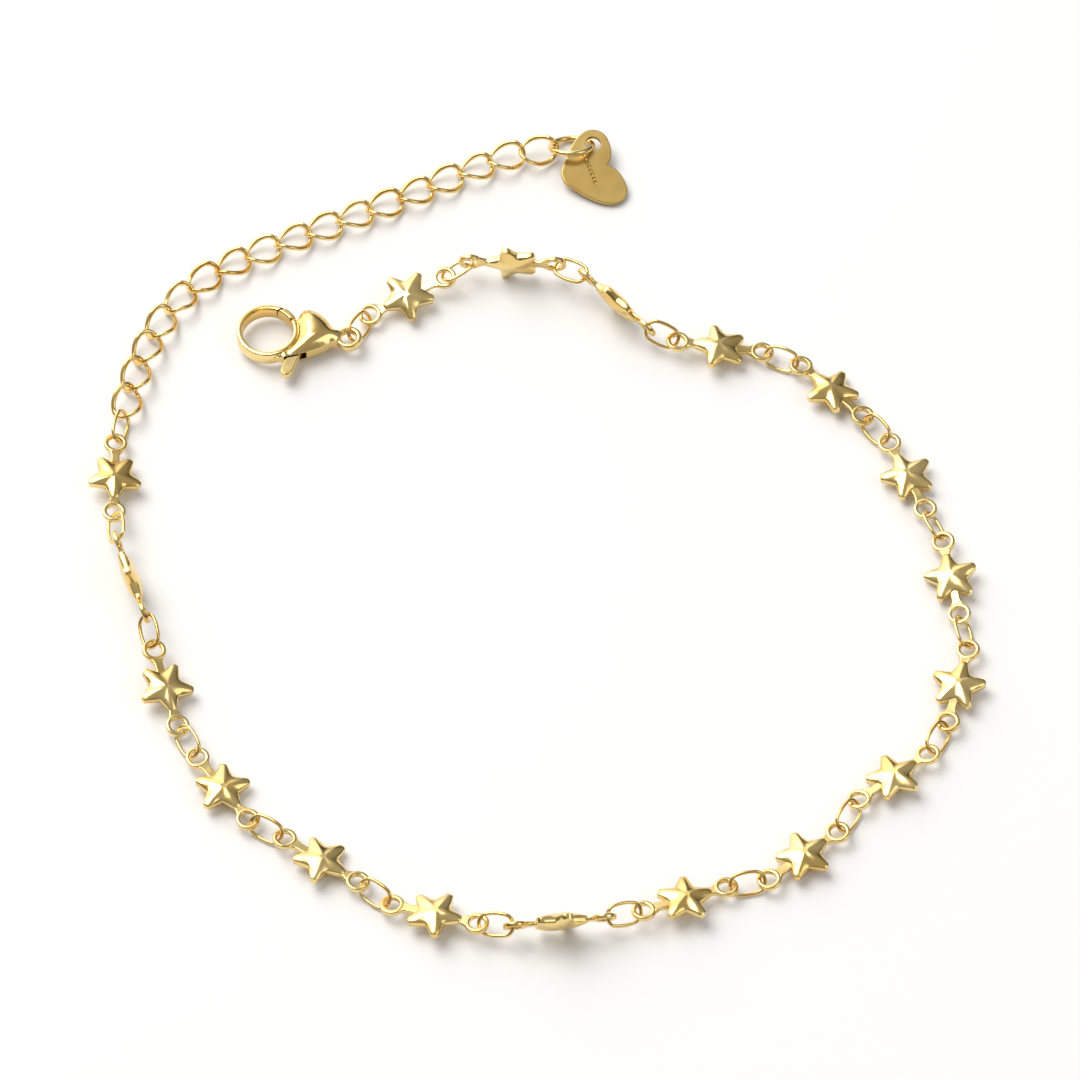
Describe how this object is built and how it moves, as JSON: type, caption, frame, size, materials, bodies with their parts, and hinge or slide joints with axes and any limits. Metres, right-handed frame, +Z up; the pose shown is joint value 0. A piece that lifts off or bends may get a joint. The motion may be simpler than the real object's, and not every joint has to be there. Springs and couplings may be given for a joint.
{
  "type": "anklet",
  "caption": "Thin gold chain anklet of puffed star links and oval rings with a lobster clasp, a twisted-link extension chain and a flat heart tag, lying unfastened.",
  "frame": {"origin": "On the surface that the anklet lies on, under the middle of its footprint.", "axes": "+Z up, away from that surface. +Y from the middle star links to the extension chain and the tag. +X from the clasp's side to the other side."},
  "size_m": [0.0794, 0.0858, 0.0048],
  "materials": {
    "star_gold": "polished pale yellow gold plate on cast links",
    "wire_gold": "bright polished gold plate on round wire",
    "clasp_gold": "mirror polished gold plate",
    "tag_gold": "satin gold plate with a polished rim"
  },
  "bodies": {
    "chain": {"clasp_body": "clasp_gold", "clasp_ring": "wire_gold", "link_ring_01": "wire_gold", "link_ring_02": "wire_gold", "link_ring_03": "wire_gold", "link_ring_04": "wire_gold", "link_ring_05": "wire_gold", "link_ring_06": "wire_gold", "link_ring_07": "wire_gold", "link_ring_08": "wire_gold", "link_ring_09": "wire_gold", "link_ring_10": "wire_gold", "link_ring_11": "wire_gold", "link_ring_12": "wire_gold", "link_ring_13": "wire_gold", "link_ring_14": "wire_gold", "link_ring_15": "wire_gold", "link_ring_16": "wire_gold", "link_ring_17": "wire_gold", "extension_ring": "wire_gold", "star_link_01": "star_gold", "star_link_02": "star_gold", "star_link_03": "star_gold", "star_link_04": "star_gold", "star_link_05": "star_gold", "star_link_06": "star_gold", "star_link_07": "star_gold", "star_link_08": "star_gold", "star_link_09": "star_gold", "star_link_10": "star_gold", "star_link_11": "star_gold", "star_link_12": "star_gold", "star_link_13": "star_gold", "star_link_14": "star_gold", "star_link_15": "star_gold", "star_link_16": "star_gold", "star_link_17": "star_gold", "star_link_18": "star_gold", "extension_chain": "wire_gold", "jump_ring": "wire_gold", "heart_tag": "tag_gold"},
    "lever": {"clasp_lever": "clasp_gold"}
  },
  "joints": [
    {"name": "clasp_gate", "type": "hinge", "parent": "chain", "child": "lever", "pos_m": [-0.02124, 0.01876, 0.00132], "axis": [0, 0, 1], "range_deg": [0, 25], "stiffness_Nm_per_rad": 0.0005, "springref_deg": -20.05}
  ]
}
